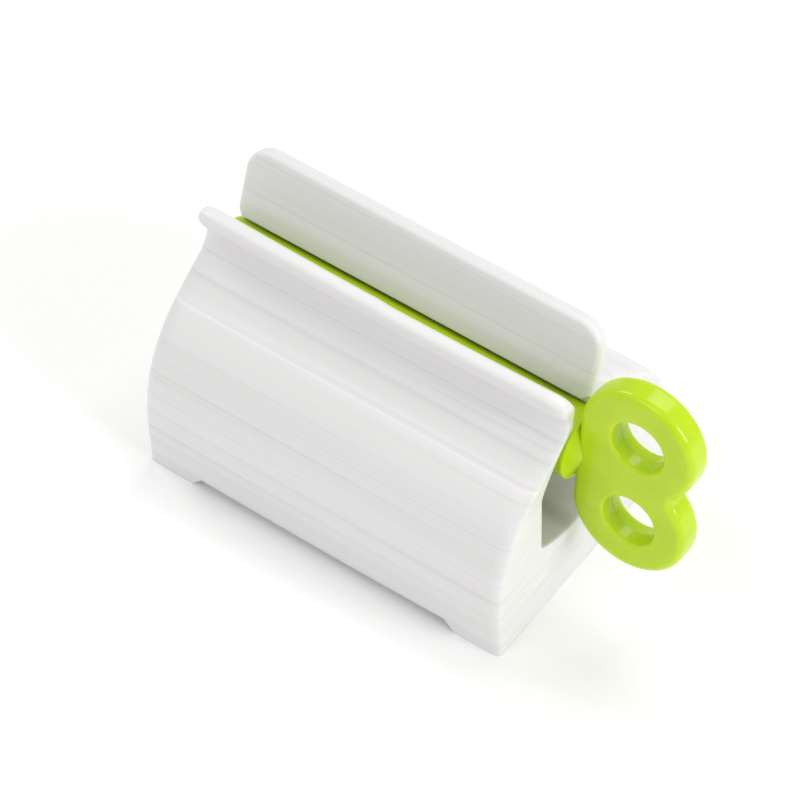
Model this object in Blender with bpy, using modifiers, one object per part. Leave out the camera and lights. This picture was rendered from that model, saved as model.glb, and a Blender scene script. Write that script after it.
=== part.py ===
"""Toothpaste tube squeezer: a moulded stand and the winding key that turns in it.

The stand is one hollow moulding. Its front wall rises to a flared lip and its rear wall
carries a tall leaning plate. The tail of the tube comes in between the two, goes through the
slot of the key's shaft and is wound up in the open room below.
"""
import math

import bmesh
import bpy
import numpy as np
from mathutils import Matrix, Vector

# The stand as a whole, in metres
BODY_LENGTH = 0.0900
BODY_DEPTH = 0.0632
WALL = 0.0024
BELLY_HEIGHT = 0.0150
FOOT_TUCK = 0.0008
END_DRAFT = 0.0001

# The axis that the key turns on, behind the front of the stand and above the table
SHAFT_SETBACK = 0.0284
SHAFT_HEIGHT = 0.04255
RUNNING_GAP = 0.0003

# The winding key
SHAFT_RADIUS = 0.0078
SHAFT_TIP_INSET = 0.0004
SHAFT_TIP_CHAMFER = 0.0008
SHOULDER_RUN = 0.0016
SHOULDER_REACH = 0.0003
SHOULDER_END_SHARE = 0.40
SLOT_WIDTH = 0.0024
SLOT_LENGTH = 0.0785
WING_GAP = 0.0006
WING_THICKNESS = 0.0066
WING_EDGE_RADIUS = 0.0017
LOBE_RADIUS = 0.0134
LOBE_OFFSET = 0.0107
NOTCH_RADIUS = 0.0025
FINGER_HOLE_RADIUS = 0.0061
FINGER_HOLE_SHIFT = 0.0003
HOLE_RIM_RADIUS = 0.0007
KEY_TILT_DEGREES = 4.8

# The mouth, where the tube goes in, and the lip in front of it
LIP_RISE = 0.01805
LIP_OVERHANG = 0.0021
LIP_FLAT = 0.0008
LIP_NOSE_RADIUS = 0.0015
LIP_CORNER_RUN = 0.0040
LIP_CORNER_DROP = 0.0032
LIP_BOW = 0.0008
LIP_END_FLARE = 0.0012
NECK_THICKNESS = 0.0028
MOUTH_FRONT = 0.0025
MOUTH_REAR = 0.0036
SEAT_FRONT_DEGREES = (113.0, 134.0)
SEAT_REAR_DEGREES = (44.0, 54.0)

# The tall plate behind the mouth
PLATE_LENGTH = 0.0878
PLATE_HEIGHT = 0.0175
PLATE_THICKNESS = 0.0036
PLATE_LEAN = 0.33
PLATE_LIFT = 0.0001
PLATE_TOP_RADIUS = 0.0060
PLATE_FOOT_RADIUS = 0.0025
PLATE_EDGE_RADIUS = 0.0012
PLATE_END_INSET = 0.0014

# The room where the tube winds up
ROOM_TOP_WIDTH = 0.0269
ROOM_FLOOR_WIDTH = 0.0259
ROOM_FLOOR_RADIUS = 0.0247
ROOM_TOP_DROP = 0.0052
ROOM_CORNER_RADIUS = 0.0018

# The recess between the feet, in the front wall and in the rear wall
RECESS_BOTTOM_LENGTH = 0.0676
RECESS_TOP_LENGTH = 0.0624
RECESS_HEIGHT = 0.0029

# How far the ends of the stand are rounded: along X, and in from the surface
OUTER_ROUND = (0.0026, 0.0008)
LIP_ROUND = (0.0012, 0.0010)
INNER_ROUND = (0.0008, 0.0003)
ROOT_ROUND = (0.0008, 0.0003)

# Narrowest pocket that the mould leaves inside a wall, and the overrun of every cut
POCKET_WIDTH = 0.0015
OVERRUN = 0.0010

# Outline of the front wall, as shares of the setback and height of the shaft's axis
SHOULDER_SHARES = (0.3664, 0.970)
SHOULDER_SLOPE_DEGREES = 39.7
FOOT_HANDLE_SHARES = (0.35, 0.45)
FRONT_HANDLE_SHARES = (0.352, 0.164)

# Outline of the neck and lip, as shares of the lip's rise
NECK_FRONT_SHARE = 0.560
NECK_REAR_SHARE = 0.650
LIP_UNDERSIDE_SHARE = 0.844
NECK_HANDLE_SHARES = (0.39, 0.28)
FLARE_HANDLE_SHARE = 0.122
FLARE_START_SHARE = 0.40
LIP_BACK_HANDLE_SHARES = (0.089, 0.167)
SEAT_HANDLE_SHARES = (0.100, 0.056)
ROOM_HANDLE_SHARES = (0.190, 0.150)

# Outline of the rear wall, as shares of the depth behind the shaft and of its height
REAR_SHOULDER_SHARES = (0.388, 1.034)
REAR_SLOPE_DEGREES = -34.8
REAR_BELLY_SHARE = 0.329
REAR_HANDLE_SHARES = (0.256, 0.140, 0.399)
ROOT_HEIGHT_SHARES = (0.06, 0.33)
ROOT_DEPTH_SHARES = (0.30, 0.75)
ROOT_SLOPE_DEGREES = -78.0
ROOT_HANDLE_SHARE = 0.094
STEP_SHARES = (0.98, 1.10)

# Distance below which two points count as one, and the bend that makes an edge sharp
SAME_PLACE = 0.00003
SHARP_BEND_DEGREES = 35.0

# How finely the round surfaces are drawn
CURVE_STEPS = 8
SHORT_STEPS = 4
FLOOR_STEPS = 16
END_STEPS = 4
LENGTH_STEPS = 6
TURN_STEPS = 48
LOBE_STEPS = 30

# Worked out from the sizes above
FRONT = -BODY_DEPTH / 2
REAR = BODY_DEPTH / 2
SHAFT_Y = FRONT + SHAFT_SETBACK
REAR_SPAN = BODY_DEPTH - SHAFT_SETBACK
SEAT_RADIUS = SHAFT_RADIUS + RUNNING_GAP
LIP_TOP = SHAFT_HEIGHT + LIP_RISE


def half_length(y, z):
    """Half of the stand's length at a place on its outline, without the rounding."""
    half = BODY_LENGTH / 2 + END_DRAFT * z / LIP_TOP
    flare = max(z - SHAFT_HEIGHT - FLARE_START_SHARE * LIP_RISE, 0.0)
    half += LIP_END_FLARE * (flare / LIP_RISE / (1 - FLARE_START_SHARE)) ** 2
    corner = min(max(1 - (LIP_TOP - z) / LIP_CORNER_DROP, 0.0), 1.0)
    half -= LIP_CORNER_RUN * (1 - math.sqrt(1 - corner * corner))
    if y > SHAFT_Y:
        low, high = (share * SHAFT_HEIGHT for share in STEP_SHARES)
        rise = min(max((z - low) / (high - low), 0.0), 1.0)
        half -= (PLATE_END_INSET + half - BODY_LENGTH / 2) * rise * rise * (3 - 2 * rise)
    return half


WING_LEFT = half_length(FRONT, SHAFT_HEIGHT + LOBE_OFFSET) + WING_GAP
WING_RIGHT = WING_LEFT + 2 * LOBE_RADIUS
STAND_LEFT = -half_length(FRONT, LIP_TOP - LIP_CORNER_DROP)
STAND_X = -(WING_RIGHT + STAND_LEFT) / 2


def bezier(start, start_handle, end_handle, end, steps):
    """Points on a Bezier curve, without its last point."""
    points = []
    for step in range(steps):
        t = step / steps
        s = 1 - t
        shares = (s ** 3, 3 * s * s * t, 3 * s * t * t, t ** 3)
        corners = (start, start_handle, end_handle, end)
        points.append(sum((c * w for c, w in zip(corners, shares)), Vector((0.0, 0.0))))
    return points


def arc(centre, radius, start_degrees, end_degrees, steps):
    """Points on an arc, without its last point."""
    angles = [start_degrees + (end_degrees - start_degrees) * i / steps for i in range(steps)]
    return [centre + radius * heading(angle) for angle in angles]


def heading(degrees):
    """Unit vector at an angle from the first axis."""
    return Vector((math.cos(math.radians(degrees)), math.sin(math.radians(degrees))))


def up(length):
    """Vector of a length straight up."""
    return Vector((0.0, length))


def front_curve():
    """Outer surface of the front wall, from the foot up to the neck."""
    foot = Vector((FRONT + FOOT_TUCK, 0.0))
    belly = Vector((FRONT, BELLY_HEIGHT))
    depth_share, height_share = SHOULDER_SHARES
    shoulder = Vector((FRONT + depth_share * SHAFT_SETBACK, height_share * SHAFT_HEIGHT))
    slope = heading(SHOULDER_SLOPE_DEGREES)
    foot_share, under_share = FOOT_HANDLE_SHARES
    belly_share, shoulder_share = FRONT_HANDLE_SHARES
    neck_share, neck_end_share = NECK_HANDLE_SHARES
    points = bezier(foot, foot + up(foot_share * BELLY_HEIGHT),
                    belly - up(under_share * BELLY_HEIGHT), belly, SHORT_STEPS)
    points += bezier(belly, belly + up(belly_share * SHAFT_HEIGHT),
                     shoulder - slope * shoulder_share * SHAFT_HEIGHT, shoulder, CURVE_STEPS)
    points += bezier(shoulder, shoulder + slope * neck_share * LIP_RISE,
                     neck_front() - up(neck_end_share * LIP_RISE), neck_front(), CURVE_STEPS)
    return points


def neck_front():
    """Narrowest place of the neck, on the outside."""
    return Vector((SHAFT_Y - MOUTH_FRONT - NECK_THICKNESS,
                   SHAFT_HEIGHT + NECK_FRONT_SHARE * LIP_RISE))


def lip_curve():
    """The lip, from the neck's outside over the nose and down to the mouth."""
    neck = neck_front()
    under = Vector((neck.x - LIP_OVERHANG, SHAFT_HEIGHT + LIP_UNDERSIDE_SHARE * LIP_RISE))
    nose = Vector((under.x + LIP_NOSE_RADIUS, LIP_TOP - LIP_NOSE_RADIUS))
    top = Vector((nose.x + LIP_FLAT, LIP_TOP))
    mouth = Vector((SHAFT_Y - MOUTH_FRONT, SHAFT_HEIGHT + NECK_REAR_SHARE * LIP_RISE))
    top_share, mouth_share = LIP_BACK_HANDLE_SHARES
    flare = up(FLARE_HANDLE_SHARE * LIP_RISE)
    points = bezier(neck, neck + flare, under - flare, under, SHORT_STEPS)
    points += [under]
    points += arc(nose, LIP_NOSE_RADIUS, 180, 90, SHORT_STEPS)
    points += [nose + up(LIP_NOSE_RADIUS)]
    points += bezier(top, top + Vector((top_share * LIP_RISE, 0.0)),
                     mouth + up(mouth_share * LIP_RISE), mouth, CURVE_STEPS)
    return points


def room_curve():
    """Inner surface, from the front seat of the shaft round the room to the rear seat."""
    axis = Vector((SHAFT_Y, SHAFT_HEIGHT))
    mouth = Vector((SHAFT_Y - MOUTH_FRONT, SHAFT_HEIGHT + NECK_REAR_SHARE * LIP_RISE))
    start, end = SEAT_FRONT_DEGREES
    seat_top = axis + SEAT_RADIUS * heading(start)
    mouth_share, seat_share = SEAT_HANDLE_SHARES
    points = bezier(mouth, mouth - up(mouth_share * LIP_RISE),
                    seat_top - seat_share * LIP_RISE * heading(start + 90), seat_top, SHORT_STEPS)
    points += arc(axis, SEAT_RADIUS, start, end, SHORT_STEPS)
    half = half_room(end)
    mirrored = [Vector((2 * SHAFT_Y - p.x, p.y)) for p in reversed(half)]
    floor_start = math.degrees(math.atan2(half[-1].y - axis.y, half[-1].x - axis.x)) % 360
    points += half[:-1]
    points += arc(axis, ROOM_FLOOR_RADIUS, floor_start, 540 - floor_start, FLOOR_STEPS)
    points += mirrored[:-1]
    start, end = SEAT_REAR_DEGREES
    points += arc(axis, SEAT_RADIUS, start, end, SHORT_STEPS)
    return points + [axis + SEAT_RADIUS * heading(end)]


def half_room(seat_end):
    """The front half of the room's wall, from the end of the seat to the floor."""
    axis = Vector((SHAFT_Y, SHAFT_HEIGHT))
    seat = axis + SEAT_RADIUS * heading(seat_end)
    wall_top = axis - Vector((ROOM_TOP_WIDTH / 2, ROOM_TOP_DROP))
    corner_angle = 180 + math.degrees(math.acos(ROOM_FLOOR_WIDTH / 2 / ROOM_FLOOR_RADIUS))
    corner = axis + ROOM_FLOOR_RADIUS * heading(corner_angle)
    floor_angle = corner_angle + math.degrees(ROOM_CORNER_RADIUS / ROOM_FLOOR_RADIUS)
    floor = axis + ROOM_FLOOR_RADIUS * heading(floor_angle)
    seat_share, wall_share = ROOM_HANDLE_SHARES
    points = bezier(seat, seat + seat_share * LIP_RISE * heading(seat_end + 90),
                    wall_top + up(wall_share * LIP_RISE), wall_top, CURVE_STEPS)
    points += [wall_top]
    wall_end = corner + up(ROOM_CORNER_RADIUS)
    points += bezier(wall_end, corner, corner, floor, SHORT_STEPS)
    return points + [floor]


def plate_frame():
    """Foot of the plate's front face, the way up the plate and the way through it."""
    lean = math.atan(PLATE_LEAN)
    foot = Vector((SHAFT_Y + MOUTH_REAR, SHAFT_HEIGHT + SEAT_RADIUS + PLATE_LIFT))
    return foot, Vector((math.sin(lean), math.cos(lean))), Vector((math.cos(lean), -math.sin(lean)))


def rear_curve():
    """Outer surface of the rear wall, from inside the plate down to the foot."""
    foot, along, through = plate_frame()
    low, high = (share * PLATE_HEIGHT for share in ROOT_HEIGHT_SHARES)
    near, far = (share * PLATE_THICKNESS for share in ROOT_DEPTH_SHARES)
    root = foot + through * far + along * high
    depth_share, height_share = REAR_SHOULDER_SHARES
    shoulder = Vector((REAR - depth_share * REAR_SPAN, height_share * SHAFT_HEIGHT))
    belly = Vector((REAR, REAR_BELLY_SHARE * SHAFT_HEIGHT))
    rear_foot = Vector((REAR - FOOT_TUCK, 0.0))
    slope = heading(REAR_SLOPE_DEGREES)
    upper_share, lower_share, belly_share = REAR_HANDLE_SHARES
    foot_share, under_share = FOOT_HANDLE_SHARES
    root_handle = ROOT_HANDLE_SHARE * SHAFT_HEIGHT * heading(ROOT_SLOPE_DEGREES)
    points = [foot + through * near + along * low, foot + through * near + along * high]
    points += bezier(root, root + root_handle,
                     shoulder - slope * upper_share * REAR_SPAN, shoulder, CURVE_STEPS)
    points += bezier(shoulder, shoulder + slope * lower_share * SHAFT_HEIGHT,
                     belly + up(belly_share * SHAFT_HEIGHT), belly, CURVE_STEPS)
    points += bezier(belly, belly - up(under_share * belly.y),
                     rear_foot + up(foot_share * belly.y), rear_foot, SHORT_STEPS)
    return points + [rear_foot]


def inward(points):
    """Unit normals of a run of points, on its right-hand side, where the plastic is."""
    normals = []
    for i, point in enumerate(points):
        before = points[max(i - 1, 0)]
        after = points[min(i + 1, len(points) - 1)]
        step = (after - before).normalized()
        normals.append(Vector((step.y, -step.x)))
    return normals


def outline():
    """The whole outline: place, inward normal and end rounding of each of its points."""
    runs = ((front_curve(), OUTER_ROUND, OUTER_ROUND),
            (lip_curve(), LIP_ROUND, LIP_ROUND),
            (room_curve(), INNER_ROUND, INNER_ROUND),
            (rear_curve(), ROOT_ROUND, OUTER_ROUND))
    whole = []
    rounds = []
    for points, first_round, last_round in runs:
        whole += points
        for i in range(len(points)):
            share = min(i / CURVE_STEPS, 1.0)
            rounds.append([a + (b - a) * share for a, b in zip(first_round, last_round)])
    return [(p, n, run, inset) for p, n, (run, inset) in zip(whole, inward(whole), rounds)]


def stations():
    """Stations along the stand: side, share of the straight length, angle of the rounding."""
    ends = [90.0 * i / END_STEPS for i in range(END_STEPS + 1)]
    left = [(-1, 1.0, angle) for angle in reversed(ends)]
    middle = [(1, 2 * i / LENGTH_STEPS - 1, 0.0) for i in range(1, LENGTH_STEPS)]
    right = [(1, 1.0, angle) for angle in ends]
    return left + middle + right


def stand_mesh():
    """Loft of the stand's outline along X: rounded, flared ends and a lip that bows forward.

    The ends are filled while they are flat, and then each point goes to its own place.
    """
    places = outline()
    shape = bmesh.new()
    rings = []
    seats = {}
    for side, share, angle in stations():
        sine = math.sin(math.radians(angle))
        cosine = math.cos(math.radians(angle))
        ring = []
        for point, normal, run, inset in places:
            y, z = point + normal * inset * (1 - cosine)
            half = half_length(y, z)
            x = side * (share * (half - run) + run * sine)
            vertex = shape.verts.new((side * share * BODY_LENGTH / 2, y, z))
            if y < SHAFT_Y and z > SHAFT_HEIGHT:
                y -= LIP_BOW * ((z - SHAFT_HEIGHT) / LIP_RISE) ** 2 * (1 - (x / half) ** 2)
            seats[vertex] = Vector((x, y, z))
            ring.append(vertex)
        rings.append(ring)
    count = len(places)
    for one, two in zip(rings, rings[1:]):
        for i in range(count):
            j = (i + 1) % count
            shape.faces.new((one[i], one[j], two[j], two[i]))
    caps = [shape.faces.new(list(reversed(rings[0]))), shape.faces.new(rings[-1])]
    for cap in caps:
        cap.normal_update()
    bmesh.ops.triangulate(shape, faces=caps)
    for vertex, seat in seats.items():
        vertex.co = seat
    bmesh.ops.recalc_face_normals(shape, faces=shape.faces)
    mesh = bpy.data.meshes.new("stand_body")
    shape.to_mesh(mesh)
    shape.free()
    return mesh


def pocket_outline():
    """Section of the hollow under the stand, one wall in from every surface."""
    front = [p + n * WALL for p, n in zip(front_curve(), inward(front_curve()))]
    rear = [p + n * WALL for p, n in zip(rear_curve(), inward(rear_curve()))]
    room = [p + n * WALL for p, n in zip(room_curve(), inward(room_curve()))]
    rear = list(reversed(rear[3:]))
    kept = []
    for point in room:
        front_room = point.x - level(front, point.y)
        rear_room = level(rear, point.y) - point.x
        if min(front_room, rear_room) > POCKET_WIDTH and point.y < SHAFT_HEIGHT:
            kept.append(point)
    points = [Vector((level(front, 0.0), -OVERRUN))]
    points += [p for p in front if 0.0 < p.y < kept[0].y]
    points += [Vector((level(front, kept[0].y), kept[0].y))]
    points += kept
    points += [Vector((level(rear, kept[-1].y), kept[-1].y))]
    points += [p for p in reversed(rear) if 0.0 < p.y < kept[-1].y]
    return points + [Vector((level(rear, 0.0), -OVERRUN))]


def level(points, height):
    """Depth of a rising run of points at a height."""
    return float(np.interp(height, [p.y for p in points], [p.x for p in points]))


def recess_outline():
    """The low gap between the feet, seen from the front."""
    slope = (RECESS_BOTTOM_LENGTH - RECESS_TOP_LENGTH) / 2 / RECESS_HEIGHT
    low = RECESS_BOTTOM_LENGTH / 2 + slope * OVERRUN
    high = RECESS_TOP_LENGTH / 2
    return [Vector(p) for p in ((-low, -OVERRUN), (low, -OVERRUN),
                                (high, RECESS_HEIGHT), (-high, RECESS_HEIGHT))]


def plate_outline():
    """The plate seen along its own normal, with its foot at the origin."""
    half = PLATE_LENGTH / 2
    points = []
    corners = ((-1, 0.0, PLATE_FOOT_RADIUS, 180), (1, 0.0, PLATE_FOOT_RADIUS, 270),
               (1, PLATE_HEIGHT, PLATE_TOP_RADIUS, 0), (-1, PLATE_HEIGHT, PLATE_TOP_RADIUS, 90))
    for side, height, radius, start in corners:
        inside = radius if height == 0.0 else -radius
        centre = Vector((side * (half - radius), height + inside))
        points += arc(centre, radius, start, start + 90, CURVE_STEPS)
        points.append(centre + radius * heading(start + 90))
    return points


def wing_outline():
    """Two overlapping lobes, joined by a straight edge on the side of the shaft."""
    middle = WING_LEFT + LOBE_RADIUS
    reach = LOBE_RADIUS + NOTCH_RADIUS
    meeting = math.degrees(math.asin(LOBE_OFFSET / reach))
    notch = Vector((middle + reach * math.cos(math.radians(meeting)), 0.0))
    upper = arc(notch, NOTCH_RADIUS, 180, 180 - meeting, SHORT_STEPS)
    upper += arc(Vector((middle, LOBE_OFFSET)), LOBE_RADIUS, -meeting, 180, LOBE_STEPS)
    upper.append(Vector((WING_LEFT, LOBE_OFFSET)))
    lower = [Vector((p.x, -p.y)) for p in reversed(upper[1:])]
    return upper + lower


def flat_piece(name, points, thickness, placing, collection):
    """A flat outline given a thickness, as a mesh object."""
    curve = bpy.data.curves.new(name, "CURVE")
    curve.dimensions = "2D"
    curve.fill_mode = "BOTH"
    curve.extrude = thickness / 2
    spline = curve.splines.new("POLY")
    spline.points.add(len(points) - 1)
    for corner, point in zip(spline.points, points):
        corner.co = (point.x, point.y, 0.0, 1.0)
    spline.use_cyclic_u = True
    guide = bpy.data.objects.new(name + "_outline", curve)
    collection.objects.link(guide)
    bpy.context.view_layer.update()
    evaluated = guide.evaluated_get(bpy.context.evaluated_depsgraph_get())
    mesh = bpy.data.meshes.new_from_object(evaluated)
    bpy.data.objects.remove(guide)
    shape = bmesh.new()
    shape.from_mesh(mesh)
    bmesh.ops.remove_doubles(shape, verts=shape.verts, dist=SAME_PLACE)
    bmesh.ops.recalc_face_normals(shape, faces=shape.faces)
    flat = [face for face in shape.faces if abs(face.calc_center_median().z) > SAME_PLACE]
    bmesh.ops.dissolve_faces(shape, faces=flat)
    weights = shape.edges.layers.float.new("bevel_weight_edge")
    sharp_bend = math.radians(SHARP_BEND_DEGREES)
    for edge in shape.edges:
        low, high = (vertex.co.z for vertex in edge.verts)
        rim = abs(low - high) < SAME_PLACE and edge.calc_face_angle(0.0) > sharp_bend
        edge[weights] = 1.0 if rim else 0.0
    shape.to_mesh(mesh)
    shape.free()
    mesh.transform(placing)
    piece = bpy.data.objects.new(name, mesh)
    collection.objects.link(piece)
    return piece


def turned_piece(name, profile, placing, collection, parent=None):
    """A profile of (radius, height) pairs turned once round the Z axis, as a Screw object."""
    mesh = bpy.data.meshes.new(name)
    corners = [(radius, 0.0, height) for radius, height in profile]
    mesh.from_pydata(corners, [(i, i + 1) for i in range(len(corners) - 1)], [])
    piece = bpy.data.objects.new(name, mesh)
    collection.objects.link(piece)
    screw = piece.modifiers.new("Turn", "SCREW")
    screw.axis = "Z"
    screw.steps = TURN_STEPS
    screw.render_steps = TURN_STEPS
    screw.use_merge_vertices = True
    screw.merge_threshold = SAME_PLACE
    piece.matrix_local = placing
    piece.parent = parent
    return piece


def round_rims(piece, radius):
    """Round the weighted edges of a flat piece."""
    bevel = piece.modifiers.new("Rounded rims", "BEVEL")
    bevel.limit_method = "WEIGHT"
    bevel.width = radius
    bevel.segments = SHORT_STEPS
    bevel.use_clamp_overlap = False


def combine(piece, tool, operation):
    """Join a tool to a piece, or cut it out of the piece, and hide the tool."""
    boolean = piece.modifiers.new(operation.title() + " " + tool.name, "BOOLEAN")
    boolean.operation = operation
    boolean.solver = "EXACT"
    boolean.object = tool
    tool.hide_render = True
    tool.display_type = "WIRE"


def plastic(name, colour, roughness):
    """A smooth plastic."""
    material = bpy.data.materials.new(name)
    material.use_nodes = True
    shader = material.node_tree.nodes["Principled BSDF"]
    shader.inputs["Base Color"].default_value = (*colour, 1.0)
    shader.inputs["Roughness"].default_value = roughness
    shader.inputs["Metallic"].default_value = 0.0
    return material


def smooth(piece):
    """Smooth shading with sharp edges kept."""
    piece.data.shade_smooth()
    piece.data.set_sharp_from_angle(angle=math.radians(SHARP_BEND_DEGREES))


def build_stand(parts, cutters):
    """The stand: the lofted moulding and its plate, hollowed from below, on four feet."""
    origin = bpy.data.objects.new("stand_origin", None)
    origin.location = (STAND_X, 0.0, 0.0)
    cutters.objects.link(origin)
    stand = bpy.data.objects.new("stand_body", stand_mesh())
    parts.objects.link(stand)
    stand.data.materials.append(plastic("white_plastic", (0.86, 0.86, 0.88), 0.35))

    foot, along, through = plate_frame()
    middle = foot + through * PLATE_THICKNESS / 2
    upright = Matrix((
        (1.0, 0.0, 0.0, 0.0),
        (0.0, along.x, -through.x, middle.x),
        (0.0, along.y, -through.y, middle.y),
        (0.0, 0.0, 0.0, 1.0)))
    plate = flat_piece("back_plate", plate_outline(), PLATE_THICKNESS, upright, cutters)
    round_rims(plate, PLATE_EDGE_RADIUS)

    end_on = Matrix(((0.0, 0.0, 1.0, 0.0), (1.0, 0.0, 0.0, 0.0),
                     (0.0, 1.0, 0.0, 0.0), (0.0, 0.0, 0.0, 1.0)))
    pocket_length = BODY_LENGTH - 2 * WALL
    pocket = flat_piece("underside_pocket", pocket_outline(), pocket_length, end_on, cutters)
    face_on = Matrix.Rotation(math.radians(90), 4, "X")
    recess_depth = BODY_DEPTH + 2 * OVERRUN
    recess = flat_piece("foot_recess", recess_outline(), recess_depth, face_on, cutters)

    combine(stand, plate, "UNION")
    combine(stand, pocket, "DIFFERENCE")
    combine(stand, recess, "DIFFERENCE")
    for piece in (stand, plate, pocket, recess):
        piece.parent = origin
    smooth(stand)


def shaft_profile():
    """Radius and distance along the axis, from the flat inside the wing to the tip."""
    tip = -(BODY_LENGTH / 2 - SHAFT_TIP_INSET)
    shoulder = WING_LEFT - SHOULDER_REACH
    inside = shoulder + SHOULDER_RUN
    return ((0.0, inside), (SHOULDER_END_SHARE * SHAFT_RADIUS, inside),
            (SHAFT_RADIUS, shoulder), (SHAFT_RADIUS, tip + SHAFT_TIP_CHAMFER),
            (SHAFT_RADIUS - SHAFT_TIP_CHAMFER, tip), (0.0, tip))


def hole_profile():
    """Cutter for a finger hole: a straight bore that opens out in a round rim at each face."""
    face = WING_THICKNESS / 2
    centre = Vector((FINGER_HOLE_RADIUS + HOLE_RIM_RADIUS, face - HOLE_RIM_RADIUS))
    rim = [centre + HOLE_RIM_RADIUS * heading(angle) for angle in (180, 150, 120)]
    out = rim[-1] + heading(60) * OVERRUN
    upper = [(0.0, out.y), (out.x, out.y)] + [(p.x, p.y) for p in reversed(rim)]
    return upper + [(radius, -height) for radius, height in reversed(upper)]


def build_key(parts, cutters):
    """The winding key: slotted shaft and two-lobed wing in one piece, on the shaft's axis."""
    axis = bpy.data.objects.new("key_axis", None)
    axis.location = (STAND_X, SHAFT_Y, SHAFT_HEIGHT)
    axis.rotation_euler = (math.radians(-KEY_TILT_DEGREES), 0.0, 0.0)
    cutters.objects.link(axis)

    along_x = Matrix.Rotation(math.radians(90), 4, "Y")
    key = turned_piece("winding_key", shaft_profile(), along_x, parts, axis)
    key.data.materials.append(plastic("green_plastic", (0.36, 0.65, 0.01), 0.25))

    face_on = Matrix.Rotation(math.radians(90), 4, "X")
    wing = flat_piece("key_wing", wing_outline(), WING_THICKNESS, face_on, cutters)
    round_rims(wing, WING_EDGE_RADIUS)
    wing.parent = axis
    combine(key, wing, "UNION")

    tip = -(BODY_LENGTH / 2 - SHAFT_TIP_INSET)
    bpy.ops.mesh.primitive_cube_add(size=1.0)
    slot = bpy.context.object
    slot.name = "shaft_slot"
    for collection in list(slot.users_collection):
        collection.objects.unlink(slot)
    cutters.objects.link(slot)
    slot.scale = (SLOT_LENGTH + OVERRUN, 2 * (SHAFT_RADIUS + OVERRUN), SLOT_WIDTH)
    slot.location = (tip + (SLOT_LENGTH - OVERRUN) / 2, 0.0, 0.0)
    slot.parent = axis
    combine(key, slot, "DIFFERENCE")

    for name, side in (("upper_finger_hole", 1), ("lower_finger_hole", -1)):
        place = Vector((WING_LEFT + LOBE_RADIUS + FINGER_HOLE_SHIFT, 0.0, side * LOBE_OFFSET))
        hole = turned_piece(name, hole_profile(), Matrix.Translation(place) @ face_on,
                            cutters, axis)
        combine(key, hole, "DIFFERENCE")


def main():
    """Clear the scene and build the two pieces."""
    for old in list(bpy.data.objects):
        bpy.data.objects.remove(old)
    parts = bpy.data.collections.new("toothpaste_tube_squeezer")
    cutters = bpy.data.collections.new("shaping_tools")
    for collection in (parts, cutters):
        bpy.context.scene.collection.children.link(collection)
    build_stand(parts, cutters)
    build_key(parts, cutters)
    bpy.context.view_layer.update()
    print("stand x", round(STAND_X, 5), "wing", round(WING_LEFT, 5), round(WING_RIGHT, 5))


main()
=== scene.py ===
# %% [markdown]
# # A toothpaste tube squeezer
#
# This lesson dresses a small bathroom tool for its picture: a white moulded stand that stands
# on the table, and a lime green winding key whose shaft lies in the mouth of the stand. The
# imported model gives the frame, so every surface made here lands where its solid already is.

# %% Load the frame
import math

import bmesh
import bpy
import numpy as np
from mathutils import Matrix, Vector
from mathutils.geometry import delaunay_2d_cdt, tessellate_polygon


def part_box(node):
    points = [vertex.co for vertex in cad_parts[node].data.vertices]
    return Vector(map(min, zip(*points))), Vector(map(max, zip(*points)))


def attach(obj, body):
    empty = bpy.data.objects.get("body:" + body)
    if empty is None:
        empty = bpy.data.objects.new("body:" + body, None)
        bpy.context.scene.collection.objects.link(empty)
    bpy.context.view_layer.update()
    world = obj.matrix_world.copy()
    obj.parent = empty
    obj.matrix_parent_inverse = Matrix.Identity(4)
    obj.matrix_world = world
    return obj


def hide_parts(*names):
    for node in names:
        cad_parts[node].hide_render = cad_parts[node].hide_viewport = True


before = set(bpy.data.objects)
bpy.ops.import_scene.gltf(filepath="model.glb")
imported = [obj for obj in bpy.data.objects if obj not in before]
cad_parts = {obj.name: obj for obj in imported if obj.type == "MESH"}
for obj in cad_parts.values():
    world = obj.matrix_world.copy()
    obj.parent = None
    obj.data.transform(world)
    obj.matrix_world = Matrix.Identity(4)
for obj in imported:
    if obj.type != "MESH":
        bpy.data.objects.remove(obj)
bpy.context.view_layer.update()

# %% [markdown]
# ## Curves as arrays
#
# Every section of the stand is a run of smooth curves. Each curve could be a Blender curve
# object, but arrays of points are easier to offset, to thicken and to carry along a length,
# so two small functions give a Bezier curve and an arc as arrays. Both leave out the last
# point, so that runs can follow each other without doubled points.

# %% Bezier curves and arcs


def bezier(start, start_handle, end_handle, end, steps):
    """Each point is a mix of the four corners: s^3, 3s^2t, 3st^2 and t^3, with s = 1 - t."""
    t = np.arange(steps)[:, None] / steps
    s = 1 - t
    return s**3 * start + 3 * s**2 * t * start_handle + 3 * s * t**2 * end_handle + t**3 * end


def arc(centre, radius, start_degrees, end_degrees, steps):
    """Centre plus radius times (cosine, sine) of an angle that grows in even steps."""
    angle = np.radians(start_degrees + (end_degrees - start_degrees) * np.arange(steps) / steps)
    return centre + radius * np.stack((np.cos(angle), np.sin(angle)), axis=1)


def heading(degrees):
    """Unit vector (cosine, sine) at an angle from the first axis."""
    return np.array((math.cos(math.radians(degrees)), math.sin(math.radians(degrees))))


def up(length):
    """Vector of a length along the second axis."""
    return np.array((0.0, length))


print("a quarter circle in three steps:", arc(np.zeros(2), 1.0, 0, 90, steps=3).round(3).tolist())

# %% [markdown]
# ## Sizes of the real thing
#
# The stand is about as long as a hand is wide. All sizes are metres, and the letters y and z
# stand for depth and height. The axis of the shaft is the place that the rest is set from:
# the seat, the mouth and the round room below are all measured from it.

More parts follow.
